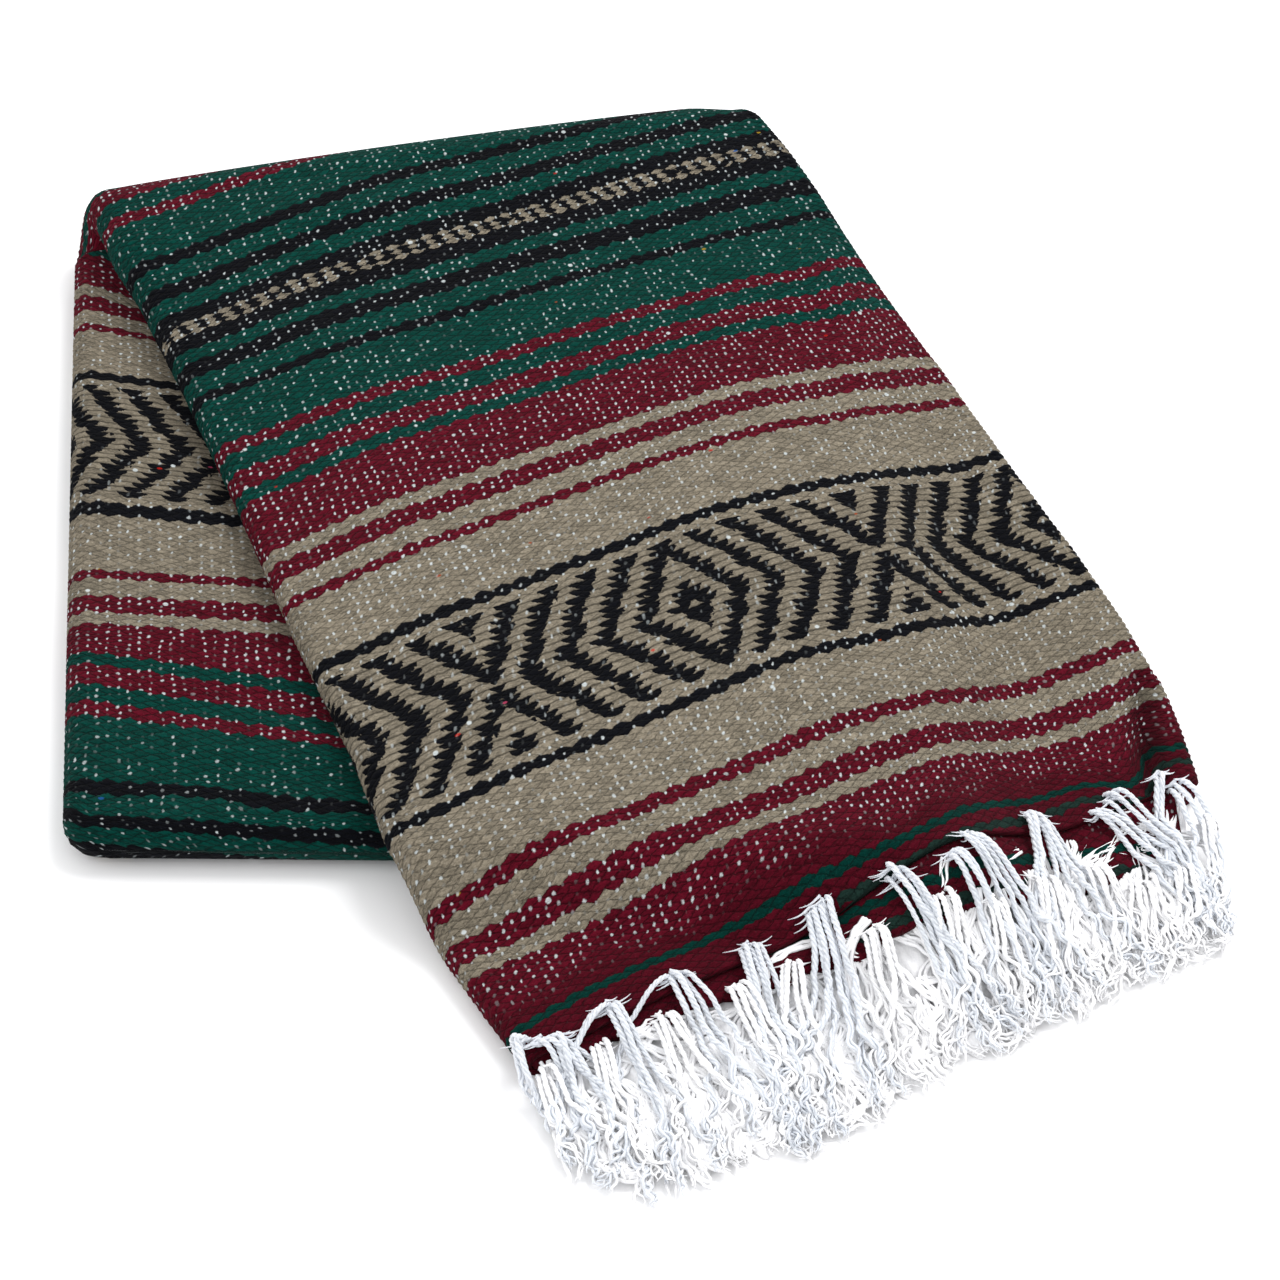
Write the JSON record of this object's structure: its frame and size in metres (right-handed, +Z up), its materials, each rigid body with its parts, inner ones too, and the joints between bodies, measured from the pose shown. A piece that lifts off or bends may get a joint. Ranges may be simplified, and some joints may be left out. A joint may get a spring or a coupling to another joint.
{
  "type": "folded mexican serape blanket",
  "caption": "Thick striped woven falsa blanket, folded into a long pad and turned over itself at an angle, with a white knotted cotton fringe along the front hem.",
  "frame": {"origin": "centre of the underside of the whole object's box, on the surface it lies on", "axes": "+Z up, -Y towards the fringed front hem, +X to the right seen from the front; the lower leg lies to the left and the upper leg crosses it to the right"},
  "size_m": [0.4823, 0.608, 0.048],
  "materials": {
    "striped_cloth": "thick weft-faced plain weave in green, maroon, tan and black stripes, matt and slightly napped",
    "fringe_cotton": "twisted white cotton yarn, matt"
  },
  "bodies": {
    "root": {"upper_leg": "striped_cloth", "top_fold": "striped_cloth", "lower_leg": "striped_cloth", "bottom_fold": "striped_cloth", "hidden_layers": "striped_cloth", "second_layer": "striped_cloth", "fringe_top": "fringe_cotton", "fringe_second": "fringe_cotton", "fringe_lower": "fringe_cotton"}
  },
  "joints": []
}
